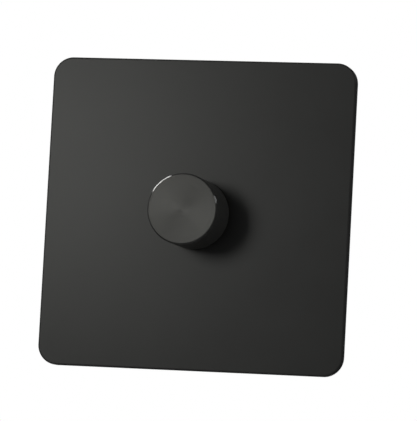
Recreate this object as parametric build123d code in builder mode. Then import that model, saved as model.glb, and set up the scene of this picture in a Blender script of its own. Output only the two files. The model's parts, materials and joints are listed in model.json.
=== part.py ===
from build123d import *
from math import cos, radians, sin, sqrt
import os

# A rotary dimmer switch for a single wall box, in millimetres.
# The wall is the plane y = 0 and the room lies towards -Y. A value called front, or one that
# names a face along the spindle, counts from the wall into the room, so it is minus y.

# Front plate: a pressed pan that clips over the mounting frame
plate_side = 86.0
plate_corner_radius = 5.5
plate_sheet = 1.2
plate_edge_radius = 0.5

# Mounting frame: flat sheet with box screw slots and sprung barbs along its edges
frame_thickness = 1.5
frame_edge_gap = 0.2
screw_spacing = 60.3
screw_slot_width = 4.0
screw_slot_length = 6.5
snap_length = 6.0
snap_offset = 24.0
snap_bite = 0.25
snap_play = 0.1
snap_beam_width = 1.4
relief_width = 1.2
relief_length = 16.0
pip_width = 3.0
pip_height = 1.0
pip_offset = 12.0

# Clearances shared by all the pieces
fit_gap = 0.02
running_gap = 0.05
hole_gap = 0.2
part_gap = 1.0

# Knob: turned shell, moulded core and the leaf that grips the spindle's flat
knob_diameter = 19.5
knob_height = 14.9
knob_base_gap = 1.8
knob_wall = 1.0
knob_cap = 2.0
knob_face_chamfer = 0.4
knob_base_chamfer = 0.25
push_travel = 1.2
core_clearance = 0.5
hub_diameter = 9.6
rib_count = 6
rib_thickness = 1.4
rib_relief = 2.0
clip_sheet = 0.4
clip_width = 3.0
clip_lip = 1.2

# Spindle and its bush
spindle_diameter = 6.0
spindle_flat_depth = 1.5
spindle_end_gap = 0.3
tang_width = 4.0
collar_width = 6.0
collar_thickness = 1.0
bush_diameter = 10.0
bush_flange_width = 14.0
bush_flange_thickness = 1.2
bush_proud = 1.2
nut_across_flats = 14.0
nut_thickness = 3.0
nut_clearance = 0.5

# Rotary control behind the bush
can_width = 21.0
can_wall = 1.0
rotor_margin = 0.3
rotor_face_gap = 0.2
rotor_thickness = 1.6
turn_angle = 270.0
stop_tab_angle = 16.0
stop_play_angle = 1.0
stop_block_angle = 14.0
stop_gap = 0.3
stop_room = 1.2
wiper_room = 1.8
wiper_sheet = 0.3
wiper_plate_angle = 50.0
finger_width = 1.0
finger_reach = 3.2
track_thickness = 1.0
track_width = 2.0
track_edge = 1.0

# Push switch behind the control
switch_width = 15.0
switch_height = 13.0
switch_depth = 7.0
switch_wall = 1.0
nose_width = 4.4
nose_length = 1.2
nose_gap = 0.1
plunger_thickness = 2.0
plunger_gap = 0.15
bridge_length = 11.0
bridge_width = 7.0
bridge_sheet = 0.5
contact_width = 1.6
contact_length = 3.0
contact_gap = 0.1
spring_span = 5.2
spring_crown = 1.4
spring_width = 3.0
spring_sheet = 0.3
spring_foot = 0.4

# Module: heat sink plate, rear case and circuit board
sink_thickness = 2.0
side_room = 10.9
case_wall = 1.6
case_corner_radius = 3.0
case_edge_chamfer = 0.8
hook_width = 6.0
hook_offset = 15.0
hook_ridge = 0.4
hook_ridge_rise = 0.6
board_thickness = 1.6
board_standoff = 3.6
board_gap = 0.2
board_chamfer = 2.0
post_width = 3.0
post_inset = 4.0
vent_width = 1.6
vent_length = 12.0
vent_pitch = 5.0
vent_count = 5
side_vents = 4
back_vent_z = 6.0

# Wire terminals along the bottom of the case
terminal_count = 3
terminal_pitch = 11.0
cage_width = 7.0
cage_height = 8.0
cage_depth = 9.0
cage_back = 2.8
cage_stop = 1.2
window_width = 3.6
window_height = 3.8
entry_margin = 0.3
tail_width = 3.0
tail_length = 3.0
tail_sheet = 0.8
terminal_screw_diameter = 3.5
terminal_screw_proud = 0.8
access_gap = 0.4
divider_thickness = 1.2

# Earth terminal on the back of the frame
earth_offset = 12.0
earth_width = 7.0
earth_height = 8.0
earth_depth = 8.0
earth_case_gap = 2.0
earth_wire_diameter = 3.6
earth_wire_depth = 3.2
earth_tenon_width = 4.0

# Screwdriver slots
slot_width = 0.8
slot_depth = 0.7

# Parts on the circuit board
choke_length = 12.0
choke_height = 11.0
choke_limb = 2.4
choke_core_width = 5.0
suppressor_width = 6.0
suppressor_length = 13.0
suppressor_height = 11.0
suppressor_chamfer = 0.4
timer_width = 5.0
timer_length = 7.2
timer_height = 8.0
fuse_width = 4.0
fuse_length = 8.4
fuse_height = 7.5
resistor_diameter = 2.4
resistor_length = 6.3
resistor_lift = 0.4
resistor_lead = 0.7
resistor_lead_reach = 1.2
resistor_edge_room = 2.4

# Power switch on the heat sink
pad_thickness = 0.3
pad_margin = 0.4
triac_width = 10.0
triac_side_room = 1.45
triac_tab_thickness = 1.3
triac_tab_length = 6.2
triac_body_length = 9.0
triac_body_thickness = 4.4
triac_hole_inset = 2.8
triac_lead_width = 0.8
triac_lead_sheet = 0.5
triac_lead_pitch = 2.54
triac_lead_reach = 3.0
triac_hole_diameter = 3.6
triac_clip_width = 5.0
triac_clip_sheet = 0.6
triac_clip_reach = 6.0
triac_clip_gap = 0.3

# Faces along the spindle, from the wall into the room
frame_front = frame_thickness
plate_front = frame_front + plate_sheet
nut_front = frame_front + nut_thickness
bush_front = nut_front + bush_proud
knob_base = plate_front + knob_base_gap
knob_face = knob_base + knob_height
core_top = knob_face - knob_cap
core_base = bush_front + push_travel + core_clearance
spindle_front = core_top - spindle_end_gap

# Faces along the spindle, from the wall into the wall box
sink_back = -sink_thickness
can_front = sink_back - bush_flange_thickness
collar_front = can_front - running_gap
collar_back = collar_front - collar_thickness
rotor_front = collar_back - push_travel - rotor_margin
can_floor = rotor_front + rotor_face_gap
rotor_back = rotor_front - rotor_thickness
track_front = rotor_back - wiper_room
can_back = track_front - track_thickness
board_front = can_back - switch_depth
board_back = board_front - board_thickness
case_floor = board_back - board_standoff
case_back = case_floor - case_wall
switch_floor = board_front + switch_wall
nose_front = can_back - nose_gap
plunger_front = nose_front - nose_length
plunger_back = plunger_front - plunger_thickness
bridge_back = plunger_back - bridge_sheet
contact_front = bridge_back - push_travel - contact_gap

# Outlines seen from the room
frame_side = plate_side - 2 * (plate_sheet + frame_edge_gap)
frame_corner_radius = plate_corner_radius - plate_sheet - frame_edge_gap
snap_reach = frame_edge_gap + snap_bite
barb_side = snap_reach * sqrt(2)
groove_side = (snap_reach + snap_play) * sqrt(2)
can_half = can_width / 2
cavity_half = can_half - can_wall
rotor_radius = cavity_half - stop_room
finger_top = cavity_half - track_edge - (track_width - finger_width) / 2
inner_width = 2 * (can_half + side_room)
end_room = triac_width + 2 * triac_side_room
inner_height = 2 * (can_half + end_room)
case_width = inner_width + 2 * case_wall
case_height = inner_height + 2 * case_wall
side_x = can_half + side_room / 2
triac_z = can_half + end_room / 2
cage_z = (cage_height - inner_height) / 2
cage_top = cage_z + cage_height / 2
board_bottom = cage_top + part_gap
board_height = inner_height / 2 - board_gap - board_bottom
bush_hole_radius = bush_diameter / 2 + hole_gap / 2
nut_corner_radius = nut_across_flats / 2 / cos(radians(30))
knob_radius = knob_diameter / 2
core_radius = knob_radius - knob_wall
hub_radius = hub_diameter / 2
spindle_radius = spindle_diameter / 2
spindle_flat = spindle_radius - spindle_flat_depth
clip_seat = spindle_flat + fit_gap
clip_base = core_base - clip_sheet
earth_z = case_height / 2 + earth_case_gap + earth_height / 2
window_front = case_floor + cage_back + window_height / 2
triac_tab_end = (triac_tab_length + triac_body_length) / 2
triac_body_front = triac_tab_end - triac_tab_length
triac_body_end = triac_body_front - triac_body_length
triac_body_middle = (triac_body_front + triac_body_end) / 2
pad_back = sink_back - pad_thickness
triac_back = pad_back - triac_body_thickness
clip_leg_z = triac_z + triac_width / 2 + triac_clip_gap


def facing(front):
    """Plane parallel to the wall at this distance in front of it, facing the room, +Z up."""
    return Plane.XZ.offset(front)


def level(z):
    """Plane square to the wall at this height: local x across, local y out to the room."""
    return Plane(origin=(0, 0, z), x_dir=(1, 0, 0), z_dir=(0, 0, -1))


def hanging(front):
    """The same plane turned half round about the spindle, so that local y points down."""
    return Plane((0, -front, 0), x_dir=(-1, 0, 0), z_dir=(0, -1, 0))


def wedge(reach, angle, mode):
    """Triangle in the open sketch, from the axis along local y, that spans this angle."""
    across = reach * sin(radians(angle / 2))
    along = reach * cos(radians(angle / 2))
    Polygon((0, 0), (across, along), (-across, along), align=None, mode=mode)


def sector(inner, outer, angle):
    """Ring sector in the open sketch, centred on local y."""
    Circle(outer)
    Circle(inner, mode=Mode.SUBTRACT)
    wedge(2 * outer, angle, Mode.INTERSECT)


def on_ray(reach, angle):
    """Point at this distance from the axis, turned by this angle from local y."""
    return (reach * sin(radians(angle)), reach * cos(radians(angle)))


def grub_screws(spots, back, length):
    """Slotted grub screws at these spots, from their slotted ends towards the room."""
    with BuildPart() as screws:
        with BuildSketch(facing(back)):
            with Locations(*spots):
                Circle(terminal_screw_diameter / 2)
        extrude(amount=length)
        with BuildSketch(facing(back)):
            with Locations(*spots):
                Rectangle(terminal_screw_diameter, slot_width)
        extrude(amount=slot_depth, mode=Mode.SUBTRACT)
    return screws


terminal_xs = [(i - (terminal_count - 1) / 2) * terminal_pitch for i in range(terminal_count)]
terminal_spots = [(x, cage_z) for x in terminal_xs]


# Front plate: pan with a rounded front edge, a hole for the nut and grooves for the barbs
with BuildPart(facing(frame_thickness / 2)) as front_plate:
    with BuildSketch(facing(0)):
        RectangleRounded(plate_side, plate_side, plate_corner_radius)
    extrude(amount=plate_front)
    fillet(front_plate.faces().sort_by(Axis.Y)[0].edges(), plate_edge_radius)
    with BuildSketch(facing(0)):
        pan_inside = plate_side - 2 * plate_sheet
        RectangleRounded(pan_inside, pan_inside, plate_corner_radius - plate_sheet)
    extrude(amount=frame_thickness, mode=Mode.SUBTRACT)
    with BuildSketch(facing(frame_front)):
        Circle(nut_corner_radius + nut_clearance)
    extrude(amount=plate_sheet, mode=Mode.SUBTRACT)
    with PolarLocations(frame_side / 2, 4):
        with Locations((0, -snap_offset), (0, snap_offset)):
            Box(
                groove_side,
                snap_length + 2 * snap_play,
                groove_side,
                rotation=(0, 45, 0),
                mode=Mode.SUBTRACT,
            )

# Mounting frame: slots for the box screws, relief slots that free a sprung beam behind each barb
with BuildPart(facing(frame_thickness / 2)) as mounting_frame:
    with BuildSketch(facing(0)):
        RectangleRounded(frame_side, frame_side, frame_corner_radius)
        Circle(bush_hole_radius, mode=Mode.SUBTRACT)
        with Locations((-screw_spacing / 2, 0), (screw_spacing / 2, 0)):
            SlotOverall(screw_slot_length, screw_slot_width, mode=Mode.SUBTRACT)
        with Locations((-pip_offset, 0), (pip_offset, 0)):
            Rectangle(pip_width + hole_gap, pip_width + hole_gap, mode=Mode.SUBTRACT)
        with Locations((earth_offset, earth_z)):
            tenon_hole = earth_tenon_width + 2 * fit_gap
            Rectangle(tenon_hole, tenon_hole, mode=Mode.SUBTRACT)
        with PolarLocations(frame_side / 2 - snap_beam_width - relief_width / 2, 4):
            with Locations((0, -snap_offset), (0, snap_offset)):
                Rectangle(relief_width, relief_length, mode=Mode.SUBTRACT)
    extrude(amount=frame_thickness)
    with PolarLocations(frame_side / 2, 4):
        with Locations((0, -snap_offset), (0, snap_offset)):
            Box(barb_side, snap_length, barb_side, rotation=(0, 45, 0))

# Earth terminal: block with a cross hole for the wire and a tenon riveted into the frame
with BuildPart() as earth_terminal:
    with BuildSketch(facing(0)):
        with Locations((earth_offset, earth_z)):
            Rectangle(earth_width, earth_height)
    extrude(amount=-earth_depth)
    with BuildSketch(facing(0)):
        with Locations((earth_offset, earth_z)):
            Rectangle(earth_tenon_width, earth_tenon_width)
    extrude(amount=frame_thickness)
    with BuildSketch(Plane.YZ.offset(earth_offset - earth_width / 2)):
        with Locations((earth_wire_depth, earth_z)):
            Circle(earth_wire_diameter / 2)
    extrude(amount=earth_width, mode=Mode.SUBTRACT)
    with BuildSketch(facing(-earth_depth)):
        with Locations((earth_offset, earth_z)):
            Circle(terminal_screw_diameter / 2 + fit_gap)
    extrude(amount=earth_depth - earth_wire_depth, mode=Mode.SUBTRACT)

earth_screw_back = -earth_depth - terminal_screw_proud
earth_screw_tip = -earth_wire_depth - earth_wire_diameter / 2
earth_screw = grub_screws([(earth_offset, earth_z)], earth_screw_back, earth_screw_tip - earth_screw_back)

# Heat sink: plate that closes the case, with pips that stop the module turning in the frame
with BuildPart(facing(sink_back / 2)) as heat_sink:
    with BuildSketch(facing(sink_back)):
        RectangleRounded(case_width, case_height, case_corner_radius)
        Circle(bush_hole_radius, mode=Mode.SUBTRACT)
        with GridLocations(case_width - case_wall, 2 * hook_offset, 2, 2):
            Rectangle(case_wall + 2 * fit_gap, hook_width + 2 * fit_gap, mode=Mode.SUBTRACT)
        with Locations((triac_body_middle, clip_leg_z + triac_clip_sheet / 2)):
            Rectangle(triac_clip_width + 2 * fit_gap, triac_clip_sheet + 2 * fit_gap, mode=Mode.SUBTRACT)
    extrude(amount=sink_thickness)
    with GridLocations(inner_width, 2 * hook_offset, 2, 2):
        Box(
            2 * (hook_ridge + fit_gap),
            hook_width + 2 * fit_gap,
            hook_ridge_rise + 2 * fit_gap,
            mode=Mode.SUBTRACT,
        )
    with BuildSketch(facing(0)):
        with Locations((-pip_offset, 0), (pip_offset, 0)):
            Rectangle(pip_width, pip_width)
    extrude(amount=pip_height)

# Spindle bush: square flange behind the heat sink, barrel through the sink and the frame
with BuildPart() as spindle_bush:
    with BuildSketch(facing(can_front)):
        Rectangle(bush_flange_width, bush_flange_width)
    extrude(amount=bush_flange_thickness)
    with BuildSketch(facing(sink_back)):
        Circle(bush_diameter / 2)
    extrude(amount=bush_front - sink_back)
    with BuildSketch(facing(can_front)):
        Circle(spindle_radius + running_gap)
    extrude(amount=bush_front - can_front, mode=Mode.SUBTRACT)

# Hexagon nut
with BuildPart() as bush_nut:
    with BuildSketch(facing(frame_front)):
        RegularPolygon(nut_across_flats / 2, 6, major_radius=False)
        Circle(bush_diameter / 2 + fit_gap, mode=Mode.SUBTRACT)
    extrude(amount=nut_thickness)

# Rear case: moulded tray with hooks for the heat sink, board posts, terminal bays and vents
with BuildPart(facing(sink_back / 2)) as rear_case:
    with BuildSketch(facing(case_back)):
        RectangleRounded(case_width, case_height, case_corner_radius)
    extrude(amount=sink_back - case_back)
    chamfer(rear_case.faces().sort_by(Axis.Y)[-1].edges(), case_edge_chamfer)
    with BuildSketch(facing(case_floor)):
        RectangleRounded(inner_width, inner_height, case_corner_radius - case_wall)
    extrude(amount=sink_back - case_floor, mode=Mode.SUBTRACT)
    with BuildSketch(facing(sink_back)):
        with GridLocations(case_width - case_wall, 2 * hook_offset, 2, 2):
            Rectangle(case_wall, hook_width)
    extrude(amount=sink_thickness - hole_gap)
    with GridLocations(inner_width, 2 * hook_offset, 2, 2):
        Box(2 * hook_ridge, hook_width, hook_ridge_rise)
    with BuildSketch(facing(case_floor)):
        with Locations((0, board_bottom + board_height / 2)):
            with GridLocations(inner_width - 2 * post_inset, board_height - 2 * post_inset, 2, 2):
                Rectangle(post_width, post_width)
    extrude(amount=board_standoff)
    with BuildSketch(facing(case_floor)):
        with Locations((0, -inner_height / 2)):
            with GridLocations(terminal_pitch, 1, terminal_count - 1, 1):
                Rectangle(divider_thickness, cage_height, align=(Align.CENTER, Align.MIN))
    extrude(amount=cage_depth)
    with BuildSketch(facing(case_back)):
        with Locations(*terminal_spots):
            Circle(terminal_screw_diameter / 2 + access_gap)
    extrude(amount=case_wall, mode=Mode.SUBTRACT)
    with BuildSketch(Plane.XY.offset(-case_height / 2)):
        with Locations((0, -window_front)):
            with GridLocations(terminal_pitch, 1, terminal_count, 1):
                Rectangle(window_width + 2 * entry_margin, window_height + 2 * entry_margin)
    extrude(amount=case_wall, mode=Mode.SUBTRACT)
    vent_middle = (sink_back + case_back) / 2
    with BuildSketch(Plane.XY.offset(case_height / 2)):
        with Locations((0, -vent_middle)):
            with GridLocations(vent_pitch, 1, vent_count, 1):
                Rectangle(vent_width, vent_length)
    extrude(amount=-case_wall, mode=Mode.SUBTRACT)
    with BuildSketch(Plane.YZ.offset(-case_width / 2)):
        with Locations((-vent_middle, 0)):
            with GridLocations(1, vent_pitch, 1, side_vents):
                Rectangle(vent_length, vent_width)
    extrude(amount=case_width, mode=Mode.SUBTRACT)
    with BuildSketch(facing(case_back)):
        with Locations((0, back_vent_z)):
            with GridLocations(vent_pitch, 1, vent_count, 1):
                Rectangle(vent_width, vent_length)
    extrude(amount=case_wall, mode=Mode.SUBTRACT)

# Circuit board on the case's posts
with BuildPart() as circuit_board:
    with BuildSketch(facing(board_back)):
        with Locations((0, board_bottom)):
            Rectangle(inner_width - 2 * board_gap, board_height, align=(Align.CENTER, Align.MIN))
    extrude(amount=board_thickness)
    chamfer(circuit_board.edges().filter_by(Axis.Y).sort_by(Axis.Z)[-2:], board_chamfer)

# Control housing: front wall with room for the spindle's collar, and two stops for the rotor's tab
with BuildPart() as track_housing:
    with BuildSketch(facing(can_back)):
        Rectangle(can_width, can_width)
    extrude(amount=can_front - can_back)
    with BuildSketch(facing(can_back)):
        Rectangle(2 * cavity_half, 2 * cavity_half)
    extrude(amount=can_floor - can_back, mode=Mode.SUBTRACT)
    with BuildSketch(facing(can_floor)):
        collar_room = collar_width * sqrt(2) + 2 * stop_gap
        Rectangle(collar_room, collar_room)
    extrude(amount=can_front - can_floor, mode=Mode.SUBTRACT)
    with BuildSketch(hanging(can_floor)):
        stop_angle = (360 - turn_angle - stop_tab_angle - stop_play_angle) / 2
        far_angle = stop_angle - stop_block_angle
        stop_inner = rotor_radius + stop_gap
        stop_outer = cavity_half + can_wall / 2
        Polygon(
            on_ray(stop_inner, far_angle),
            on_ray(stop_inner, stop_angle),
            on_ray(stop_outer / cos(radians(stop_angle)), stop_angle),
            on_ray(stop_outer / cos(radians(far_angle)), far_angle),
            align=None,
        )
        mirror(about=Plane.YZ)
    extrude(amount=rotor_back - can_floor)

# Resistance track on its board, which closes the housing
with BuildPart() as resistance_track:
    with BuildSketch(facing(can_back)):
        track_side = 2 * (cavity_half - fit_gap)
        tang_room = tang_width * sqrt(2) + 2 * stop_gap
        Rectangle(track_side, track_side)
        Rectangle(tang_room, tang_room, mode=Mode.SUBTRACT)
    extrude(amount=track_thickness)

# Rotor: disc with a stop tab and a square bore for the spindle's tang
with BuildPart() as track_rotor:
    with BuildSketch(facing(rotor_back)):
        sector(rotor_radius - stop_gap, cavity_half - stop_gap, stop_tab_angle)
        Circle(rotor_radius)
        Rectangle(tang_width + 2 * running_gap, tang_width + 2 * running_gap, mode=Mode.SUBTRACT)
    extrude(amount=rotor_thickness)

# Wiper: sheet on the rotor's back with a sprung finger that reaches the track
with BuildPart() as wiper:
    with BuildSketch(facing(rotor_back)):
        sector(tang_width + stop_gap, finger_top, wiper_plate_angle)
    extrude(amount=-wiper_sheet)
    finger_tip = track_front + running_gap
    with BuildSketch(level(finger_top)):
        Polygon(
            (0, rotor_back),
            (finger_reach, finger_tip),
            (finger_reach - wiper_sheet, finger_tip),
            (-wiper_sheet, rotor_back - wiper_sheet),
            (-wiper_sheet, rotor_back),
            align=None,
        )
    extrude(amount=finger_width)

# Spindle: flat at the knob, square collar behind the bush, square tang in the rotor
with BuildPart() as spindle:
    with BuildSketch(facing(collar_front)):
        Circle(spindle_radius)
    extrude(amount=spindle_front - collar_front)
    with BuildSketch(facing(clip_base - hole_gap)):
        with Locations((0, spindle_flat)):
            Rectangle(spindle_diameter, spindle_diameter, align=(Align.CENTER, Align.MIN))
    extrude(amount=spindle_front - clip_base + hole_gap, mode=Mode.SUBTRACT)
    with BuildSketch(facing(collar_back)):
        Rectangle(collar_width, collar_width)
    extrude(amount=collar_thickness)
    with BuildSketch(facing(can_back)):
        Rectangle(tang_width, tang_width)
    extrude(amount=collar_back - can_back)

# Knob shell: turned cap, chamfered round its face and its base
with BuildPart() as knob_shell:
    with BuildSketch(facing(knob_base)):
        Circle(knob_radius)
    extrude(amount=knob_height)
    chamfer(knob_shell.faces().sort_by(Axis.Y)[0].edges(), knob_face_chamfer)
    chamfer(knob_shell.faces().sort_by(Axis.Y)[-1].edges(), knob_base_chamfer)
    with BuildSketch(facing(knob_base)):
        Circle(core_radius)
    extrude(amount=knob_height - knob_cap, mode=Mode.SUBTRACT)

# Knob core: hub with a flat in its bore, and ribs pressed into the shell
with BuildPart() as knob_core:
    with BuildSketch(facing(core_base)):
        Circle(hub_radius)
    extrude(amount=core_top - core_base)
    with BuildSketch(facing(core_base + rib_relief)):
        with PolarLocations(0, rib_count):
            Rectangle(core_radius, rib_thickness, align=(Align.MIN, Align.CENTER))
        Circle(core_radius - fit_gap, mode=Mode.INTERSECT)
    extrude(amount=core_top - core_base - rib_relief)
    with BuildSketch(facing(core_base)):
        Circle(spindle_radius + fit_gap)
        with Locations((0, clip_seat + clip_sheet + fit_gap)):
            Rectangle(hub_diameter, hub_diameter, align=(Align.CENTER, Align.MAX), mode=Mode.INTERSECT)
    extrude(amount=core_top - core_base, mode=Mode.SUBTRACT)

# Leaf between the hub and the spindle's flat, with a lip under the hub
with BuildPart() as knob_spring:
    with BuildSketch(facing(clip_base)):
        with Locations((0, clip_seat)):
            Rectangle(clip_width, clip_sheet, align=(Align.CENTER, Align.MIN))
    extrude(amount=spindle_front - clip_base)
    with BuildSketch(facing(clip_base)):
        with Locations((0, clip_seat)):
            Rectangle(clip_width, clip_sheet + clip_lip, align=(Align.CENTER, Align.MIN))
    extrude(amount=clip_sheet)

# Switch housing: tray on the board, closed in front by the track's board
with BuildPart() as switch_housing:
    contact_spots = [(-bridge_length / 2 + contact_width, 0), (bridge_length / 2 - contact_width, 0)]
    with BuildSketch(facing(board_front)):
        Rectangle(switch_width, switch_height)
    extrude(amount=switch_depth)
    with BuildSketch(facing(switch_floor)):
        Rectangle(switch_width - 2 * switch_wall, switch_height - 2 * switch_wall)
    extrude(amount=can_back - switch_floor, mode=Mode.SUBTRACT)
    with BuildSketch(facing(board_front)):
        with Locations(*contact_spots):
            Rectangle(contact_width, contact_length)
    extrude(amount=switch_wall, mode=Mode.SUBTRACT)

with BuildPart() as switch_contacts:
    with BuildSketch(facing(board_front)):
        with Locations(*contact_spots):
            Rectangle(contact_width, contact_length)
    extrude(amount=contact_front - board_front)

# Plunger that the spindle pushes, and the bridge that joins the two contacts
with BuildPart() as switch_plunger:
    plunger_width = switch_width - 2 * (switch_wall + plunger_gap)
    plunger_height = switch_height - 2 * (switch_wall + plunger_gap)
    with BuildSketch(facing(plunger_back)):
        Rectangle(plunger_width, plunger_height)
    extrude(amount=plunger_thickness)
    with BuildSketch(facing(plunger_front)):
        Rectangle(nose_width, nose_width)
    extrude(amount=nose_length)

with BuildPart() as contact_bridge:
    with BuildSketch(facing(bridge_back)):
        Rectangle(bridge_length, bridge_width)
        Rectangle(spring_span + 2 * hole_gap, spring_width + 2 * hole_gap, mode=Mode.SUBTRACT)
    extrude(amount=bridge_sheet)

# Return spring: leaf bowed between the plunger and the housing's floor
with BuildPart() as switch_spring:
    foot_x = spring_span / 2
    crown_x = spring_crown / 2
    with BuildSketch(level(spring_width / 2)):
        Polygon(
            (-foot_x, switch_floor),
            (-crown_x, plunger_back),
            (crown_x, plunger_back),
            (foot_x, switch_floor),
            (foot_x - spring_foot, switch_floor),
            (crown_x - spring_foot / 2, plunger_back - spring_sheet),
            (spring_foot / 2 - crown_x, plunger_back - spring_sheet),
            (spring_foot - foot_x, switch_floor),
            align=None,
        )
    extrude(amount=spring_width)

# Choke: laminated core that stands on the board, with its winding round the middle limb
choke_plane = Plane.YZ.offset(-side_x - choke_core_width / 2)
choke_window_width = (choke_length - 3 * choke_limb) / 2
choke_window_height = choke_height - 2 * choke_limb
with BuildPart() as choke_core:
    with BuildSketch(choke_plane):
        with Locations((-board_front - choke_height / 2, 0)):
            Rectangle(choke_height, choke_length)
            with GridLocations(1, choke_window_width + choke_limb, 1, 2):
                Rectangle(choke_window_height, choke_window_width, mode=Mode.SUBTRACT)
    extrude(amount=choke_core_width)

with BuildPart() as choke_winding:
    coil_build = choke_window_width - 2 * running_gap
    coil_inside_x = choke_core_width + 2 * running_gap
    coil_inside_z = choke_limb + 2 * running_gap
    with BuildSketch(facing(board_front + choke_limb + running_gap)):
        with Locations((-side_x, 0)):
            Rectangle(coil_inside_x + 2 * coil_build, coil_inside_z + 2 * coil_build)
            Rectangle(coil_inside_x, coil_inside_z, mode=Mode.SUBTRACT)
    extrude(amount=choke_window_height - 2 * running_gap)

# Suppression capacitor: moulded block
with BuildPart() as suppression_capacitor:
    with BuildSketch(facing(board_front)):
        with Locations((side_x, 0)):
            Rectangle(suppressor_width, suppressor_length)
    extrude(amount=suppressor_height)
    chamfer(suppression_capacitor.faces().sort_by(Axis.Y)[0].edges(), suppressor_chamfer)

with BuildPart() as timing_capacitor:
    with BuildSketch(facing(board_front)):
        with Locations((-side_x, choke_length / 2 + part_gap)):
            Rectangle(timer_width, timer_length, align=(Align.CENTER, Align.MIN))
    extrude(amount=timer_height)

with BuildPart() as board_fuse:
    with BuildSketch(facing(board_front)):
        with Locations((side_x, suppressor_length / 2 + part_gap)):
            Rectangle(fuse_width, fuse_length, align=(Align.CENTER, Align.MIN))
    extrude(amount=fuse_height)

# Resistors lying across the board on their bent leads
with BuildPart() as resistors:
    resistor_front = board_front + resistor_lift + resistor_diameter / 2
    resistor_z = board_bottom + resistor_edge_room
    lead_span = resistor_length + 2 * resistor_lead_reach
    for x in (-side_x, side_x):
        resistor_plane = Plane(origin=(x, -resistor_front, resistor_z), z_dir=(1, 0, 0))
        with BuildSketch(resistor_plane.offset(-resistor_length / 2)):
            Circle(resistor_diameter / 2)
        extrude(amount=resistor_length)
        with BuildSketch(resistor_plane.offset(-lead_span / 2)):
            Rectangle(resistor_lead, resistor_lead)
        extrude(amount=lead_span)
        with BuildSketch(facing(board_front)):
            with Locations((x, resistor_z)):
                with GridLocations(lead_span - resistor_lead, 1, 2, 1):
                    Rectangle(resistor_lead, resistor_lead)
        extrude(amount=resistor_front - board_front)

# Triac: tab and body flat on the pad, leads bent back to the board
with BuildPart() as triac:
    lead_front = pad_back - triac_body_thickness / 2
    with BuildSketch(facing(pad_back)):
        with Locations((triac_tab_end, triac_z)):
            Rectangle(triac_tab_length + triac_body_length, triac_width, align=(Align.MAX, Align.CENTER))
        with Locations((triac_tab_end - triac_hole_inset, triac_z)):
            Circle(triac_hole_diameter / 2, mode=Mode.SUBTRACT)
    extrude(amount=-triac_tab_thickness)
    with BuildSketch(facing(pad_back)):
        with Locations((triac_body_front, triac_z)):
            Rectangle(triac_body_length, triac_width, align=(Align.MAX, Align.CENTER))
    extrude(amount=-triac_body_thickness)
    for step in (-1, 0, 1):
        with BuildSketch(level(triac_z + step * triac_lead_pitch)):
            with Locations((triac_body_end, lead_front)):
                Rectangle(triac_lead_reach, triac_lead_sheet, align=(Align.MAX, Align.CENTER))
            with Locations((triac_body_end - triac_lead_reach, lead_front + triac_lead_sheet / 2)):
                Rectangle(
                    triac_lead_sheet,
                    lead_front + triac_lead_sheet / 2 - board_front,
                    align=(Align.MIN, Align.MAX),
                )
        extrude(amount=triac_lead_width / 2, both=True)

with BuildPart() as insulating_pad:
    with BuildSketch(facing(sink_back)):
        with Locations((0, triac_z)):
            Rectangle(triac_tab_length + triac_body_length + pad_margin, triac_width + pad_margin)
    extrude(amount=-pad_thickness)

# Clip: leg held in the heat sink's slot, arm that presses on the triac
with BuildPart() as triac_clip:
    with BuildSketch(Plane.YZ.offset(triac_body_middle - triac_clip_width / 2)):
        with Locations((hole_gap, clip_leg_z)):
            Rectangle(
                triac_clip_sheet - hole_gap - triac_back,
                triac_clip_sheet,
                align=(Align.MIN, Align.MIN),
            )
        with Locations((-triac_back, clip_leg_z)):
            Rectangle(triac_clip_sheet, triac_clip_reach, align=(Align.MIN, Align.MAX))
    extrude(amount=triac_clip_width)

# Terminal cages: clamps with a window for the wire and a tail soldered to the board
with BuildPart() as terminal_cages:
    with BuildSketch(facing(case_floor)):
        with Locations(*terminal_spots):
            Rectangle(cage_width, cage_height)
    extrude(amount=cage_depth)
    with BuildSketch(Plane.XY.offset(-inner_height / 2)):
        with Locations((0, -window_front)):
            with GridLocations(terminal_pitch, 1, terminal_count, 1):
                Rectangle(window_width, window_height)
    extrude(amount=cage_height - cage_stop, mode=Mode.SUBTRACT)
    with BuildSketch(facing(case_floor)):
        with Locations(*terminal_spots):
            Circle(terminal_screw_diameter / 2 + fit_gap)
    extrude(amount=cage_back, mode=Mode.SUBTRACT)
    with BuildSketch(facing(board_back)):
        with Locations(*[(x, cage_top - cage_stop) for x in terminal_xs]):
            Rectangle(tail_width, cage_stop + part_gap + tail_length, align=(Align.CENTER, Align.MIN))
    extrude(amount=-tail_sheet)

terminal_screws = grub_screws(
    terminal_spots, case_floor - terminal_screw_proud, cage_back + terminal_screw_proud
)

pieces = {
    "front_plate": front_plate,
    "mounting_frame": mounting_frame,
    "earth_terminal": earth_terminal,
    "earth_screw": earth_screw,
    "heat_sink": heat_sink,
    "spindle_bush": spindle_bush,
    "bush_nut": bush_nut,
    "rear_case": rear_case,
    "circuit_board": circuit_board,
    "track_housing": track_housing,
    "resistance_track": resistance_track,
    "track_rotor": track_rotor,
    "wiper": wiper,
    "spindle": spindle,
    "knob_shell": knob_shell,
    "knob_core": knob_core,
    "knob_spring": knob_spring,
    "switch_housing": switch_housing,
    "switch_contacts": switch_contacts,
    "switch_plunger": switch_plunger,
    "contact_bridge": contact_bridge,
    "switch_spring": switch_spring,
    "choke_core": choke_core,
    "choke_winding": choke_winding,
    "suppression_capacitor": suppression_capacitor,
    "timing_capacitor": timing_capacitor,
    "board_fuse": board_fuse,
    "resistors": resistors,
    "triac": triac,
    "insulating_pad": insulating_pad,
    "triac_clip": triac_clip,
    "terminal_cages": terminal_cages,
    "terminal_screws": terminal_screws,
}

os.makedirs("parts", exist_ok=True)
for name, piece in pieces.items():
    piece.part.label = name
    export_step(piece.part, f"parts/{name}.step")
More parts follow.
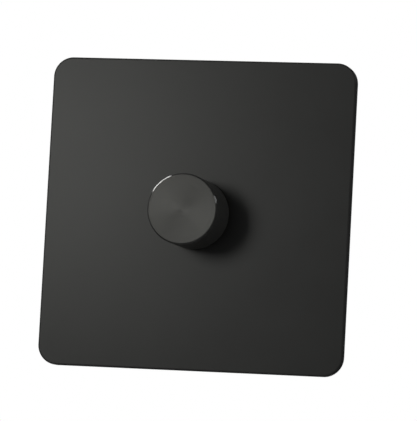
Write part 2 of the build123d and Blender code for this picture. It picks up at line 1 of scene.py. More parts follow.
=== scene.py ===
import json
from math import cos, pi, radians, sin, sqrt

import bpy
from mathutils import Matrix, Vector


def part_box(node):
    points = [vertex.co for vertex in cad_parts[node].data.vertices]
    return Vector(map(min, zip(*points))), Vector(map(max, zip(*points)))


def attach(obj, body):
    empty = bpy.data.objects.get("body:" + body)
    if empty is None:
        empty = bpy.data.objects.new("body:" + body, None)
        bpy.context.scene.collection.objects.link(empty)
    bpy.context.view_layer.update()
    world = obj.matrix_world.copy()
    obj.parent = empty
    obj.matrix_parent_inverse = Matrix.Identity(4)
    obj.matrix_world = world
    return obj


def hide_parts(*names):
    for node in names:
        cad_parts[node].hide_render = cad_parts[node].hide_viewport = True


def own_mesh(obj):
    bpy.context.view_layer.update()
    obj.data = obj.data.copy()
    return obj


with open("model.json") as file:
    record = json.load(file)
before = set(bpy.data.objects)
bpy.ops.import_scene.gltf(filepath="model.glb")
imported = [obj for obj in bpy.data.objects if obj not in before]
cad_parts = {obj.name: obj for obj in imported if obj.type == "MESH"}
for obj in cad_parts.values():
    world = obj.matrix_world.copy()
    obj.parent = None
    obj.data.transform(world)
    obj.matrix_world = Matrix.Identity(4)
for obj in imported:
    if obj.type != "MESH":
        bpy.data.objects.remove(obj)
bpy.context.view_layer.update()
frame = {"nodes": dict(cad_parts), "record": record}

MM = 0.001
BODIES = frame["record"]["behaviour"]["bodies"]
BODY_OF = {node: body for body, nodes in BODIES.items() for node in nodes}
SLOT_OF = {row["node"]: row["material_slot"] for row in frame["record"]["subparts"]}
plate_low, plate_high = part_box("front_plate")
knob_low, knob_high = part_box("knob_shell")
knob_radius = knob_high.x
knob_front = -knob_low.y
knob_base = -knob_high.y


# Selecting and shaping by hand

PICK_MARGIN = 0.1 * MM
WELD_GAP = 0.001 * MM
FLAT_ANGLE = 0.5


def pick_only(piece):
    """Leaves this piece alone selected and active, in object mode."""
    bpy.ops.object.select_all(action="DESELECT")
    piece.select_set(True)
    bpy.context.view_layer.objects.active = piece


def clear_picks(piece, mode):
    """Deselects the whole mesh and sets what edit mode will select: vertices, edges or faces."""
    pick_only(piece)
    bpy.context.tool_settings.mesh_select_mode = [mode == kind for kind in ("VERT", "EDGE", "FACE")]
    for part in (piece.data.vertices, piece.data.edges, piece.data.polygons):
        part.foreach_set("select", [False] * len(part))


def pick_back(piece):
    """Enters edit mode with only the faces selected that look at the wall."""
    clear_picks(piece, "FACE")
    for face in piece.data.polygons:
        face.select = face.normal.y > 0.9
    bpy.ops.object.mode_set(mode="EDIT")


def pick_edges(piece, wanted):
    """Enters edit mode with only the edges selected whose two ends are wanted."""
    clear_picks(piece, "EDGE")
    points = piece.data.vertices
    for edge in piece.data.edges:
        edge.select = wanted(*(points[i].co for i in edge.vertices))
    bpy.ops.object.mode_set(mode="EDIT")


def leave_edit():
    """Goes back to object mode."""
    bpy.ops.object.mode_set(mode="OBJECT")


def bevel_edges(piece, wanted, width, steps):
    """Bevels the edges whose two ends are wanted."""
    pick_edges(piece, wanted)
    bpy.ops.mesh.bevel(offset=width, segments=steps, affect="EDGES")
    leave_edit()


def push_back(piece, inset, travel):
    """Insets the faces that look at the wall and moves them along the spindle's axis."""
    pick_back(piece)
    bpy.ops.mesh.inset(thickness=inset)
    bpy.ops.mesh.extrude_region_move(TRANSFORM_OT_translate={"value": (0, travel, 0)})
    leave_edit()


def settle(piece):
    """Puts the piece's place, turn and scale into its mesh."""
    pick_only(piece)
    bpy.ops.object.transform_apply(location=True, rotation=True, scale=True)


def join_all(pieces):
    """Joins the pieces into the first one and returns it."""
    pick_only(pieces[0])
    for piece in pieces:
        piece.select_set(True)
    bpy.ops.object.join()
    return pieces[0]


def add_bar(sides, radius, length, middle):
    """Round bar along the spindle's axis with its middle at this depth."""
    bpy.ops.mesh.primitive_cylinder_add(
        vertices=sides, radius=radius, depth=length, rotation=(pi / 2, 0, 0), location=(0, middle, 0))
    return bpy.context.object


def add_object(name, data):
    """New object in the scene that holds this mesh, lamp or camera."""
    piece = bpy.data.objects.new(name, data)
    bpy.context.scene.collection.objects.link(piece)
    return piece


def apply_modifier(piece, kind, **values):
    """Adds one modifier with these values and applies it."""
    pick_only(piece)
    modifier = piece.modifiers.new(kind.lower(), kind)
    for key, value in values.items():
        setattr(modifier, key, value)
    bpy.ops.object.modifier_apply(modifier=modifier.name)


def cut_out(piece, cutter):
    """Takes the cutter's shape out of a piece and removes the cutter."""
    apply_modifier(piece, "BOOLEAN", operation="DIFFERENCE", object=cutter, solver="EXACT")
    bpy.data.objects.remove(cutter)


def ease_edges(piece, width, steps=2, angle=40):
    """Rounds every edge that is sharper than the angle by a small width."""
    apply_modifier(
        piece, "BEVEL", width=width, segments=steps, limit_method="ANGLE", angle_limit=radians(angle),
        use_clamp_overlap=True)


def smooth_faces(piece, angle=35):
    """Smooth shading that keeps sharp edges and lets the large faces stay flat."""
    pick_only(piece)
    bpy.ops.object.shade_smooth_by_angle(angle=radians(angle))
    apply_modifier(piece, "WEIGHTED_NORMAL", weight=100, keep_sharp=True)


def name_piece(piece, name, body, slot):
    """Names a finished piece, gives it the finish of its slot and ties it to its body."""
    piece.name = name
    piece.data.name = name
    piece.data.materials.clear()
    piece.data.materials.append(FINISHES[slot])
    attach(piece, body)


def fit_out(piece, name, node):
    """Finishes a piece that stands for a CAD node."""
    name_piece(piece, name, BODY_OF[node], SLOT_OF[node])
    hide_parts(node)


def merged_copy(node):
    """Copy of a CAD node with its triangles joined and its flat faces whole."""
    piece = add_object(node + "_copy", frame["nodes"][node].data.copy())
    pick_only(piece)
    bpy.ops.object.mode_set(mode="EDIT")
    bpy.ops.mesh.select_all(action="SELECT")
    bpy.ops.mesh.remove_doubles(threshold=WELD_GAP)
    bpy.ops.mesh.dissolve_limited(angle_limit=radians(FLAT_ANGLE))
    leave_edit()
    return piece


# Shader nodes

def feed(tree, socket, value):
    """Links a socket to another one, or sets it to a plain value."""
    if isinstance(value, bpy.types.NodeSocket):
        tree.links.new(value, socket)
    else:
        socket.default_value = value


def new_group(name, inputs, outputs):
    """Shader node group with named values; returns its tree, what comes in and where results go out."""
    tree = bpy.data.node_groups.new(name, "ShaderNodeTree")
    for label, value in inputs.items():
        socket = tree.interface.new_socket(label, in_out="INPUT", socket_type="NodeSocketFloat")
        socket.default_value = value
    for label in outputs:
        tree.interface.new_socket(label, in_out="OUTPUT", socket_type="NodeSocketFloat")
    return tree, tree.nodes.new("NodeGroupInput").outputs, tree.nodes.new("NodeGroupOutput").inputs


def place_group(tree, group, **values):
    """Places a shared effect in a finish with its own values."""
    node = tree.nodes.new("ShaderNodeGroup")
    node.node_tree = group
    for label, value in values.items():
        node.inputs[label].default_value = value
    return node.outputs


def math_node(tree, operation, *values):
    """Math node fed by sockets or plain numbers; returns its output."""
    node = tree.nodes.new("ShaderNodeMath")
    node.operation = operation
    for socket, value in zip(node.inputs, values):
        feed(tree, socket, value)
    return node.outputs[0]


def vector_math(tree, operation, *values):
    """Vector math node fed by sockets; returns its outputs."""
    node = tree.nodes.new("ShaderNodeVectorMath")
    node.operation = operation
    for socket, value in zip(node.inputs, values):
        feed(tree, socket, value)
    return node.outputs


def combine(tree, x, y, z):
    """Vector of three sockets or plain numbers."""
    node = tree.nodes.new("ShaderNodeCombineXYZ")
    for socket, value in zip(node.inputs, (x, y, z)):
        feed(tree, socket, value)
    return node.outputs[0]


def spread(tree, value, low, high):
    """Maps a value from the range low to high onto 0 to 1, clamped."""
    node = tree.nodes.new("ShaderNodeMapRange")
    feed(tree, node.inputs["Value"], value)
    node.inputs["From Min"].default_value = low
    node.inputs["From Max"].default_value = high
    return node.outputs["Result"]


def value_mix(tree, mask, low, high):
    """Value between two numbers by a mask."""
    node = tree.nodes.new("ShaderNodeMapRange")
    feed(tree, node.inputs["Value"], mask)
    node.inputs["To Min"].default_value = low
    node.inputs["To Max"].default_value = high
    return node.outputs["Result"]


def mask_mix(tree, first, second, share):
    """Sum of two masks, the first with this share and the second with the rest."""
    first = math_node(tree, "MULTIPLY", first, share)
    second = math_node(tree, "MULTIPLY", second, 1.0 - share)
    return math_node(tree, "ADD", first, second)


def opposite(tree, mask):
    """One where the mask is zero and zero where it is one."""
    return math_node(tree, "SUBTRACT", 1.0, mask)


def tone_mix(tree, mask, first, second):
    """Colour between two tones by a mask."""
    node = tree.nodes.new("ShaderNodeMix")
    node.data_type = "RGBA"
    feed(tree, node.inputs["Factor"], mask)
    for label, tone in (("A", first), ("B", second)):
        socket = next(s for s in node.inputs if s.name == label and s.type == "RGBA")
        feed(tree, socket, tone if isinstance(tone, bpy.types.NodeSocket) else (*tone, 1.0))
    return next(s for s in node.outputs if s.type == "RGBA")


def raise_surface(tree, height, distance, strength=1.0, below=None):
    """Bump from a height; a second bump lies over the one below."""
    node = tree.nodes.new("ShaderNodeBump")
    node.inputs["Strength"].default_value = strength
    node.inputs["Distance"].default_value = distance
    feed(tree, node.inputs["Height"], height)
    if below is not None:
        feed(tree, node.inputs["Normal"], below)
    return node.outputs["Normal"]


def object_point(tree):
    """Place on the object, in its own coordinates."""
    return tree.nodes.new("ShaderNodeTexCoord").outputs["Object"]


def noise_node(tree, point, scale, detail, roughness):
    """Noise over a place, from about 0 to 1."""
    node = tree.nodes.new("ShaderNodeTexNoise")
    feed(tree, node.inputs["Vector"], point)
    feed(tree, node.inputs["Scale"], scale)
    node.inputs["Detail"].default_value = detail
    node.inputs["Roughness"].default_value = roughness
    return node.outputs["Fac"]


# Shared surface effects

NOISE_SPAN = (0.3, 0.7)
CLOUD_SPAN = (0.32, 0.68)
RING_DRIFT = 0.6


def build_grain():
    """Fine even grain of a sprayed or sparked surface."""
    tree, given, results = new_group("fine_grain", {"Scale": 4000.0}, ["Grain"])
    fine = noise_node(tree, object_point(tree), given["Scale"], detail=2.0, roughness=0.6)
    feed(tree, results["Grain"], spread(tree, fine, *NOISE_SPAN))
    return tree


def build_cloud():
    """Slow uneven tone over a whole piece."""
    tree, given, results = new_group("slow_cloud", {"Scale": 60.0}, ["Cloud"])
    slow = noise_node(tree, object_point(tree), given["Scale"], detail=3.0, roughness=0.55)
    feed(tree, results["Cloud"], spread(tree, slow, *CLOUD_SPAN))
    return tree


def build_rolling():
    """Fine straight lines left across a rolled or drawn sheet."""
    tree, given, results = new_group("rolling_lines", {"Scale": 900.0, "Stretch": 0.03}, ["Lines"])
    drawn = combine(tree, given["Stretch"], 1.0, 1.0)
    point = vector_math(tree, "MULTIPLY", object_point(tree), drawn)["Vector"]
    lines = noise_node(tree, point, given["Scale"], detail=3.0, roughness=0.65)
    feed(tree, results["Lines"], spread(tree, lines, *NOISE_SPAN))
    return tree


def build_turning():
    """Rings left by the lathe round the spindle's axis, with their distance from it and their front."""
    tree, given, results = new_group("turning_rings", {"Pitch": 0.2 * MM}, ["Rings", "Radius", "Front"])
    parts = tree.nodes.new("ShaderNodeSeparateXYZ")
    feed(tree, parts.inputs[0], object_point(tree))
    radius = vector_math(tree, "LENGTH", combine(tree, parts.outputs["X"], parts.outputs["Z"], 0.0))["Value"]
    front = math_node(tree, "MULTIPLY", parts.outputs["Y"], -1.0)
    turns = math_node(tree, "DIVIDE", math_node(tree, "ADD", radius, front), given["Pitch"])
    wave = math_node(tree, "SINE", math_node(tree, "MULTIPLY", turns, 2 * pi))
    drift = tree.nodes.new("ShaderNodeTexNoise")
    drift.noise_dimensions = "1D"
    feed(tree, drift.inputs["W"], turns)
    drift.inputs["Scale"].default_value = RING_DRIFT
    drift.inputs["Detail"].default_value = 2.0
    depth = spread(tree, drift.outputs["Fac"], *NOISE_SPAN)
    rings = math_node(tree, "MULTIPLY", math_node(tree, "ADD", wave, 1.0), depth)
    feed(tree, results["Rings"], rings)
    feed(tree, results["Radius"], radius)
    feed(tree, results["Front"], front)
    return tree


GRAIN = build_grain()
CLOUD = build_cloud()
ROLLING = build_rolling()
TURNING = build_turning()


# Finishes

GRAIN_SHARE = 0.5
LINE_SHARE = 0.6
LINE_CLOUD = 90.0
TURNED_METALLIC = 0.27
TURNED_TINT = 0.8
TURNED_GRAIN = 5000.0
TURNED_GRAIN_DEPTH = 0.004 * MM
TURNED_GRAIN_STRENGTH = 0.4
TURNED_SHADE = 1.25
RING_PITCH = 0.13 * MM
RING_DEPTH = 0.006 * MM
SIDE_RINGS = 0.15
FACE_ROUGH = 0.30
EDGE_ROUGH = 0.12
FACE_SKIN = 0.05 * MM
EDGE_BAND = 0.5 * MM
EDGE_WIDTH = 0.42 * MM


def principled(material):
    """Inputs of the material's Principled shader."""
    return next(n for n in material.node_tree.nodes if n.type == "BSDF_PRINCIPLED").inputs


def new_finish(name, metallic, specular, edge_tint=1.0):
    """Material with a Principled shader; returns it with its tree and the shader's inputs."""
    material = bpy.data.materials.new(name)
    material.use_nodes = True
    inputs = principled(material)
    inputs["Metallic"].default_value = metallic
    inputs["Specular IOR Level"].default_value = specular
    inputs["Specular Tint"].default_value = (edge_tint, edge_tint, edge_tint, 1.0)
    return material, material.node_tree, inputs


def grained_finish(name, dark, light, rough, specular, scale, depth, metallic=0.0, cloud=60.0, edge_tint=1.0):
    """Even finish with a fine grain and a slow drift of tone."""
    material, tree, inputs = new_finish(name, metallic, specular, edge_tint)
    grain = place_group(tree, GRAIN, Scale=scale)["Grain"]
    slow = place_group(tree, CLOUD, Scale=cloud)["Cloud"]
    mask = mask_mix(tree, grain, slow, GRAIN_SHARE)
    feed(tree, inputs["Base Color"], tone_mix(tree, mask, dark, light))
    feed(tree, inputs["Roughness"], value_mix(tree, mask, *rough))
    feed(tree, inputs["Normal"], raise_surface(tree, grain, depth))
    return material


def rolled_finish(name, dark, light, rough, scale, stretch, depth, metallic=1.0):
    """Sheet or wire with the lines of its rolling or drawing."""
    material, tree, inputs = new_finish(name, metallic, specular=0.5)
    lines = place_group(tree, ROLLING, Scale=scale, Stretch=stretch)["Lines"]
    slow = place_group(tree, CLOUD, Scale=LINE_CLOUD)["Cloud"]
    mask = mask_mix(tree, lines, slow, LINE_SHARE)
    feed(tree, inputs["Base Color"], tone_mix(tree, mask, dark, light))
    feed(tree, inputs["Roughness"], value_mix(tree, slow, *rough))
    feed(tree, inputs["Normal"], raise_surface(tree, lines, depth))
    return material


def turned_finish(name, tone, face_tone, painted_dark_edge_tone):
    """Black turned metal: rings on the knob's face, a smooth edge whose darker tone is a painted dark
    reflection, and finer rings on its side, whose tone is painted lighter than the face's as painted light on
    a side that sits in shade.
    """
    material, tree, inputs = new_finish(name, TURNED_METALLIC, 0.0, TURNED_TINT)
    rings = place_group(tree, TURNING, Pitch=RING_PITCH)
    grain = place_group(tree, GRAIN, Scale=TURNED_GRAIN)["Grain"]
    face_front = knob_front - FACE_SKIN
    in_front = math_node(tree, "GREATER_THAN", rings["Front"], face_front)
    on_rim = math_node(tree, "GREATER_THAN", rings["Radius"], knob_radius - EDGE_WIDTH)
    near_face = math_node(tree, "GREATER_THAN", rings["Front"], face_front - EDGE_BAND)
    on_edge = math_node(tree, "MULTIPLY", on_rim, near_face)
    on_face = math_node(tree, "MULTIPLY", in_front, opposite(tree, on_rim))
    # The side and bore take the tone painted lighter than the face's tone, as painted light on a side that
    # sits in shade, with the fine grain on it.
    plain = tone_mix(tree, grain, tone, [TURNED_SHADE * c for c in tone])
    faced = tone_mix(tree, on_face, plain, face_tone)
    # The bevel round the face takes the darker edge tone, a painted dark reflection in the polished edge.
    feed(tree, inputs["Base Color"], tone_mix(tree, on_edge, faced, painted_dark_edge_tone))
    feed(tree, inputs["Roughness"], value_mix(tree, on_edge, FACE_ROUGH, EDGE_ROUGH))
    height = math_node(tree, "MULTIPLY", rings["Rings"], value_mix(tree, on_face, SIDE_RINGS, 1.0))
    ringed = raise_surface(tree, math_node(tree, "MULTIPLY", height, opposite(tree, on_edge)), RING_DEPTH)
    grained = raise_surface(tree, grain, TURNED_GRAIN_DEPTH, TURNED_GRAIN_STRENGTH, ringed)
    feed(tree, inputs["Normal"], grained)
    return material


FINISHES = {
    "plate_finish": grained_finish(
        "matt_black_plate", dark=(0.0280, 0.0283, 0.0277), light=(0.0312, 0.0315, 0.0309),
        rough=(0.29, 0.325), specular=0.0, scale=5200.0, depth=0.003 * MM, metallic=0.205, edge_tint=0.25),
    # The knob's side tone is painted lighter than its face tone, as painted light on the shaded side; its
    # edge tone is painted dark, as a painted dark reflection in the bevel.
    "knob_finish": turned_finish(
        "matt_black_turned", tone=(0.050, 0.050, 0.0475), face_tone=(0.0435, 0.0435, 0.0416),
        painted_dark_edge_tone=(0.024, 0.024, 0.0233)),
    "zinc_steel": grained_finish(
        "zinc_plated_steel", dark=(0.42, 0.43, 0.44), light=(0.56, 0.57, 0.58), rough=(0.34, 0.48),
        specular=0.5, scale=2600.0, depth=0.003 * MM, metallic=1.0, cloud=140.0),
    "sink_aluminium": rolled_finish(
        "rolled_aluminium", dark=(0.50, 0.51, 0.52), light=(0.64, 0.65, 0.66), rough=(0.34, 0.44),
        scale=2400.0, stretch=0.03, depth=0.004 * MM),
    "brass": grained_finish(
        "machined_brass", dark=(0.58, 0.39, 0.14), light=(0.74, 0.54, 0.25), rough=(0.28, 0.42),
        specular=0.5, scale=1800.0, depth=0.003 * MM, metallic=1.0, cloud=160.0),
    "case_plastic": grained_finish(
        "sparked_black_plastic", dark=(0.018, 0.019, 0.020), light=(0.030, 0.031, 0.032), rough=(0.44, 0.56),
        specular=0.3, scale=2200.0, depth=0.015 * MM),
    "inner_plastic": grained_finish(
        "dark_moulding", dark=(0.040, 0.040, 0.044), light=(0.060, 0.060, 0.065), rough=(0.40, 0.52),
        specular=0.4, scale=2000.0, depth=0.006 * MM),
    "board_laminate": rolled_finish(
        "brown_laminate", dark=(0.30, 0.22, 0.09), light=(0.40, 0.30, 0.14), rough=(0.5, 0.6),
        scale=1500.0, stretch=0.1, depth=0.003 * MM, metallic=0.0),
    "track_carbon": grained_finish(
        "carbon_film", dark=(0.022, 0.022, 0.022), light=(0.036, 0.036, 0.036), rough=(0.5, 0.62),
        specular=0.3, scale=3000.0, depth=0.003 * MM),
    "choke_ferrite": rolled_finish(
        "stacked_iron", dark=(0.16, 0.17, 0.15), light=(0.26, 0.28, 0.24), rough=(0.5, 0.62),
        scale=3000.0, stretch=0.02, depth=0.01 * MM),
    "copper_wire": rolled_finish(
        "enamelled_copper", dark=(0.42, 0.16, 0.06), light=(0.66, 0.28, 0.11), rough=(0.28, 0.36),
        scale=2000.0, stretch=0.02, depth=0.02 * MM),
    "capacitor_shell": grained_finish(
        "yellow_block", dark=(0.48, 0.39, 0.07), light=(0.60, 0.51, 0.12), rough=(0.28, 0.38),
        specular=0.5, scale=1500.0, depth=0.004 * MM),
    "silicone_pad": grained_finish(
        "grey_pad", dark=(0.54, 0.54, 0.56), light=(0.64, 0.64, 0.66), rough=(0.6, 0.7),
        specular=0.3, scale=1800.0, depth=0.006 * MM),
}


def finish_nodes():
    """Gives each CAD node the finish of its slot."""
    for node, slot in SLOT_OF.items():
        for holder in frame["nodes"][node].material_slots:
            holder.material = FINISHES[slot]


# Front plate: sheet pan pressed from one square, with a hole for the nut under the knob

PLATE_CORNER = 5.5 * MM
CORNER_STEPS = 20
PLATE_SHEET = 1.2 * MM
PLATE_EDGE = 0.5 * MM
EDGE_STEPS = 6
NUT_HOLE = 8.583 * MM
HOLE_SIDES = 96
FRAME_GAP = 0.2 * MM
GROOVE_DEPTH = 0.35 * MM
GROOVE_LENGTH = 6.2 * MM
GROOVE_OFFSET = 24.0 * MM


def groove_bars():
    """Square bars on edge along the frame's sides, two to a side, where its barbs snap into the pan."""
    reach = plate_high.x - PLATE_SHEET - FRAME_GAP
    middle = (plate_low.y + PLATE_SHEET) / 2
    width = (FRAME_GAP + GROOVE_DEPTH) * sqrt(2)
    shape = Matrix.Rotation(pi / 4, 4, "Z") @ Matrix.Diagonal((width, width, GROOVE_LENGTH, 1.0))
    bars = []
    for quarter in range(4):
        turn = Matrix.Rotation(quarter * pi / 2, 4, "Y")
        for along in (-GROOVE_OFFSET, GROOVE_OFFSET):
            bpy.ops.mesh.primitive_cube_add(size=1.0)
            bar = bpy.context.object
            bar.matrix_world = turn @ Matrix.Translation((reach, middle, along)) @ shape
            bars.append(bar)
    return join_all(bars)


def press_plate():
    """Open box with rounded corners, given its thickness, its rounded front edge, its hole and grooves."""
    side = plate_high.x - plate_low.x
    depth = plate_high.y - plate_low.y
    bpy.ops.mesh.primitive_cube_add(size=1.0, location=(0, (plate_low.y + plate_high.y) / 2, 0))
    pan = bpy.context.object
    pan.scale = (side, depth, side)
    settle(pan)
    bevel_edges(pan, lambda a, b: abs(a.y - b.y) > depth / 2, PLATE_CORNER, CORNER_STEPS)
    pick_back(pan)
    bpy.ops.mesh.delete(type="FACE")
    leave_edit()
    apply_modifier(pan, "SOLIDIFY", thickness=PLATE_SHEET, offset=-1.0, use_even_offset=True)
    inside = plate_low.y + PLATE_SHEET
    for point in pan.data.vertices:
        if abs(point.co.y - inside) < PLATE_SHEET / 4:
            point.co.y = inside
    front = plate_low.y + PICK_MARGIN
    bevel_edges(pan, lambda a, b: max(a.y, b.y) < front, PLATE_EDGE, EDGE_STEPS)
    cut_out(pan, add_bar(HOLE_SIDES, NUT_HOLE, 4 * depth, plate_low.y))
    cut_out(pan, groove_bars())
    smooth_faces(pan)
    fit_out(pan, "plate_pan", "front_plate")


# Knob: turned from bar, faced, bevelled and bored from behind

KNOB_SIDES = 160
KNOB_WALL = 1.0 * MM
KNOB_CAP = 2.0 * MM
FACE_BEVEL = 0.4 * MM
BASE_BEVEL = 0.25 * MM
KNOB_EASE = 0.05 * MM


def turn_knob():
    """Bar with a bore from behind and flat bevels round its face and its base."""
    height = knob_front - knob_base
    knob = add_bar(KNOB_SIDES, knob_radius, height, -(knob_front + knob_base) / 2)
    settle(knob)
    push_back(knob, KNOB_WALL, KNOB_CAP - height)
    near = -knob_front + PICK_MARGIN
    bevel_edges(knob, lambda a, b: max(a.y, b.y) < near, FACE_BEVEL, 1)
    far = -knob_base - PICK_MARGIN
    rim = knob_radius - KNOB_WALL / 2
    bevel_edges(
        knob, lambda a, b: min(a.y, b.y) > far and min(a.xz.length, b.xz.length) > rim, BASE_BEVEL, 1)
    ease_edges(knob, KNOB_EASE, angle=30)
    smooth_faces(knob, 10)
    fit_out(knob, "turned_knob", "knob_shell")


# Choke: coil of flat turns round the middle limb of a stack of iron sheets

COIL_TURNS = 10
TURN_GAP = 0.02 * MM
TURN_ROUNDING = 0.45
COIL_CORNER = 2.0 * MM
COIL_CORNER_STEPS = 6
CORE_SHEETS = 10
SHEET_GAP = 0.03 * MM
SHEET_EASE = 0.06 * MM


def slice_copy(node, axis, count, gap):
    """Copy of a CAD node thinned along one axis to its first slice; returns it and the slices' pitch."""
    low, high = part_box(node)
    length = high[axis] - low[axis]
    pitch = (length + gap) / count
    share = (pitch - gap) / length
    piece = merged_copy(node)
    piece.scale[axis] = share
    piece.location[axis] = low[axis] * (1 - share)
    settle(piece)
    return piece, pitch


def repeat(piece, axis, count, pitch):
    """Sets copies of a piece beside it in a row."""
    step = Vector()
    step[axis] = pitch
    apply_modifier(
        piece, "ARRAY", count=count, use_relative_offset=False, use_constant_offset=True,
        constant_offset_displace=step)


def wind_coil():
    """One turn with rounded corners and edges, repeated along the spindle's axis."""
    low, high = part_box("choke_winding")
    middle = (low.x + high.x) / 2
    reach = (high.x - low.x) / 2 - PICK_MARGIN
    turn, pitch = slice_copy("choke_winding", 1, COIL_TURNS, TURN_GAP)
    bevel_edges(
        turn, lambda a, b: abs(a.y - b.y) > pitch / 2 and abs(a.x - middle) > reach, COIL_CORNER,
        COIL_CORNER_STEPS)
    ease_edges(turn, TURN_ROUNDING * pitch, 3)
    repeat(turn, 1, COIL_TURNS, pitch)
    smooth_faces(turn)
    fit_out(turn, "wound_coil", "choke_winding")


def stack_core():
    """One sheet with eased edges, repeated across the board."""
    sheet, pitch = slice_copy("choke_core", 0, CORE_SHEETS, SHEET_GAP)
    ease_edges(sheet, SHEET_EASE)
    repeat(sheet, 0, CORE_SHEETS, pitch)
    smooth_faces(sheet)
    fit_out(sheet, "stacked_core", "choke_core")


# Return spring of the push switch: the leaf the plunger presses on

LEAF_EASE = 0.04 * MM


def bow_leaf():
    """Leaf with its end at the switch's floor, copied with eased edges and given a mesh of its own."""
    leaf = merged_copy("switch_spring")
    ease_edges(leaf, LEAF_EASE)
    smooth_faces(leaf)
    fit_out(leaf, "bowed_leaf", "switch_spring")
    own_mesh(leaf)


# Solder joints on the back of the board, where the leads of its parts come through

JOINT_SIDES = 14
JOINT_RADIUS = 0.95 * MM
JOINT_TOP = 0.4 * MM
JOINT_HEIGHT = 0.8 * MM
JOINT_SINK = 0.02 * MM
JOINT_EASE = 0.04 * MM
STUB_HEIGHT = 0.45 * MM
STUB_INSET = 0.1 * MM
LEAD_INSET = 1.5 * MM
TRIAC_PITCH = 2.54 * MM


def joint_spots():
    """Places of the joints, as x and z."""
    spots = []
    for node in ("suppression_capacitor", "timing_capacitor", "board_fuse"):
        low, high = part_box(node)
        spots += [((low.x + high.x) / 2, z) for z in (low.z + LEAD_INSET, high.z - LEAD_INSET)]
    low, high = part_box("choke_winding")
    spots += [(high.x - JOINT_RADIUS, z) for z in (low.z + JOINT_RADIUS, high.z - JOINT_RADIUS)]
    low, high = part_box("triac")
    spots += [(low.x, (low.z + high.z) / 2 + step * TRIAC_PITCH) for step in (-1, 0, 1)]
    low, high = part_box("switch_contacts")
    spots += [(x, (low.z + high.z) / 2) for x in (low.x + JOINT_RADIUS, high.x - JOINT_RADIUS)]
    return spots


def solder_board():
    """Cone with the stub of a lead, copied to every spot."""
    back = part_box("circuit_board")[1].y
    bpy.ops.mesh.primitive_cone_add(
        vertices=JOINT_SIDES, radius1=JOINT_RADIUS, radius2=JOINT_TOP, depth=JOINT_HEIGHT,
        rotation=(-pi / 2, 0, 0), location=(0, back + JOINT_HEIGHT / 2 - JOINT_SINK, 0))
    first = bpy.context.object
    settle(first)
    push_back(first, STUB_INSET, STUB_HEIGHT)
    ease_edges(first, JOINT_EASE, 1)
    joints = []
    for x, z in joint_spots():
        joint = add_object("solder_joint", first.data.copy())
        joint.location = (x, 0, z)
        joints.append(joint)
    bpy.data.objects.remove(first)
    solder = join_all(joints)
    settle(solder)
    smooth_faces(solder)
    name_piece(solder, "solder_joints", "module", "zinc_steel")


# CAD node, name of the piece that stands for it, and the width of its eased edges in millimetres
EASED = [
    ("mounting_frame", "frame_sheet", 0.1),
    ("heat_sink", "sink_sheet", 0.15),
    ("rear_case", "moulded_case", 0.25),
    ("earth_terminal", "earth_block", 0.25),
    ("earth_screw", "earth_grub", 0.08),
    ("terminal_screws", "terminal_grubs", 0.08),
    ("terminal_cages", "clamp_cages", 0.15),
    ("bush_nut", "hex_nut", 0.2),
    ("spindle_bush", "bush_barrel", 0.15),
    ("spindle", "turned_spindle", 0.15),
    ("knob_core", "ribbed_core", 0.1),
    ("knob_spring", "core_leaf", 0.05),
    ("track_housing", "control_box", 0.2),
    ("track_rotor", "stopped_rotor", 0.1),
    ("resistance_track", "track_board", 0.05),
    ("switch_housing", "switch_box", 0.25),
    ("switch_plunger", "square_plunger", 0.15),
    ("contact_bridge", "bridge_bar", 0.08),
    ("switch_contacts", "contact_posts", 0.1),
    ("circuit_board", "board_sheet", 0.08),
    ("suppression_capacitor", "film_block", 0.2),
    ("timing_capacitor", "timer_block", 0.35),
    ("board_fuse", "fuse_block", 0.3),
    ("resistors", "resistor_pair", 0.12),
    ("triac", "power_switch", 0.1),
    ("triac_clip", "bent_clip", 0.05),
    ("insulating_pad", "pad_sheet", 0.05),
]


def ease_nodes():
    """Stands a copy with eased edges in for each CAD node in the table."""
    for node, name, width in EASED:
        piece = merged_copy(node)
        ease_edges(piece, width * MM)
        smooth_faces(piece)
        fit_out(piece, name, node)


finish_nodes()
press_plate()
turn_knob()
wind_coil()
stack_core()
bow_leaf()
solder_board()
ease_nodes()


# Floor, light and camera

FLOOR_HEIGHT = -1.2
FLOOR_SIZE = 12.0
FLOOR_GLOW = 0.82
FLOOR_FADE = (1.5, 4.5)
IMAGE_HEIGHT = 421
SENSOR = 36.0
CLIP_START = 0.01
WHITE = (1.0, 1.0, 1.0)


def seen_ray(tree):
    """One where the camera, a reflection or a clear material sees the surface, and zero for its light."""
    path = tree.nodes.new("ShaderNodeLightPath").outputs
    mirrored = math_node(tree, "MAXIMUM", path["Is Camera Ray"], path["Is Glossy Ray"])
    return math_node(tree, "MAXIMUM", mirrored, path["Is Transmission Ray"])


def lay_floor():
    """Pale floor far below the plate, which glows towards its edges as the white room does."""
    bpy.ops.mesh.primitive_plane_add(size=FLOOR_SIZE, location=(0, 0, FLOOR_HEIGHT))
    floor = bpy.context.object
    floor.name = "pale_floor"
    surface = grained_finish(
        "pale_floor", dark=(0.78, 0.78, 0.78), light=(0.82, 0.82, 0.82), rough=(0.8, 0.9), specular=0.2,
        scale=40.0, depth=0.01 * MM, cloud=2.0)
    tree = surface.node_tree
    inputs = principled(surface)
    inputs["Emission Color"].default_value = (*WHITE, 1.0)
    away = vector_math(tree, "LENGTH", object_point(tree))["Value"]
    glow = value_mix(tree, spread(tree, away, *FLOOR_FADE), FLOOR_GLOW, 1.0)
    feed(tree, inputs["Emission Strength"], math_node(tree, "MULTIPLY", glow, seen_ray(tree)))
    floor.data.materials.append(surface)


def light_world(fill):
    """White to the camera and in reflections, and a weak fill on the surfaces."""
    world = bpy.data.worlds.new("white_room")
    bpy.context.scene.world = world
    world.use_nodes = True
    tree = world.node_tree
    background = next(n for n in tree.nodes if n.type == "BACKGROUND")
    background.inputs["Color"].default_value = (*WHITE, 1.0)
    feed(tree, background.inputs["Strength"], value_mix(tree, seen_ray(tree), fill, 1.0))


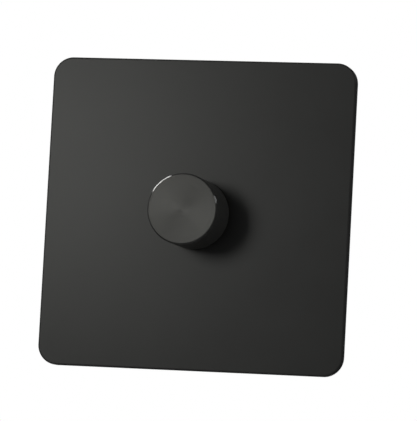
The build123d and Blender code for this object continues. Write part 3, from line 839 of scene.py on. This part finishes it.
def hang_lamp(name, place, width, height, power, colour=WHITE):
    """Soft lamp at a place, facing the middle of the plate, with its width level."""
    lamp = bpy.data.lights.new(name, "AREA")
    lamp.shape = "RECTANGLE"
    lamp.size = width
    lamp.size_y = height
    lamp.energy = power
    lamp.color = colour
    holder = add_object(name, lamp)
    holder.location = place
    holder.rotation_euler = (-Vector(place)).to_track_quat("-Z", "Y").to_euler()
    holder.visible_camera = False


def direction(side, rise):
    """Unit vector from the plate into the room, this many degrees to the right and up."""
    level = cos(radians(rise))
    return Vector((sin(radians(side)) * level, -cos(radians(side)) * level, sin(radians(rise))))


def stand_camera(aim, side, rise, tilt, distance, focal_pixels):
    """Camera at this bearing from its aim, rolled by tilt, with its focal length in image pixels."""
    back = direction(side, rise)
    right = Vector((0, 0, 1)).cross(back).normalized()
    up = back.cross(right)
    turned_right = cos(radians(tilt)) * right + sin(radians(tilt)) * up
    turned_up = cos(radians(tilt)) * up - sin(radians(tilt)) * right
    data = bpy.data.cameras.new("photo_camera")
    data.sensor_fit = "VERTICAL"
    data.sensor_height = SENSOR
    data.lens = focal_pixels * SENSOR / IMAGE_HEIGHT
    data.clip_start = CLIP_START
    camera = add_object("photo_camera", data)
    turn = Matrix((turned_right, turned_up, back)).transposed().to_4x4()
    camera.matrix_world = Matrix.Translation(Vector(aim) + distance * back) @ turn
    bpy.context.scene.camera = camera


lay_floor()
light_world(fill=0.06)
hang_lamp(
    "key_lamp", 0.45 * direction(-22.6, 8.2), width=0.12, height=0.12, power=0.90, colour=(1.0, 1.0, 0.97))
hang_lamp(
    "right_lamp", direction(77.6, 26.0), width=0.09, height=0.26, power=1.4, colour=(0.97, 0.98, 1.0))
hang_lamp("rim_lamp", (-0.410, 0.12, 0.366), width=0.06, height=0.31, power=4.3)
hang_lamp("back_lamp", (0.45, 0.75, 0.55), width=0.5, height=0.5, power=4.5)
hang_lamp("side_lamp", (-0.7, 0.45, 0.1), width=0.4, height=0.4, power=2.0)
stand_camera(
    aim=(2.850 * MM, 0, 1.515 * MM), side=13.226, rise=-5.005, tilt=3.111, distance=0.900,
    focal_pixels=3259.2)
bpy.context.scene.view_settings.view_transform = "Standard"
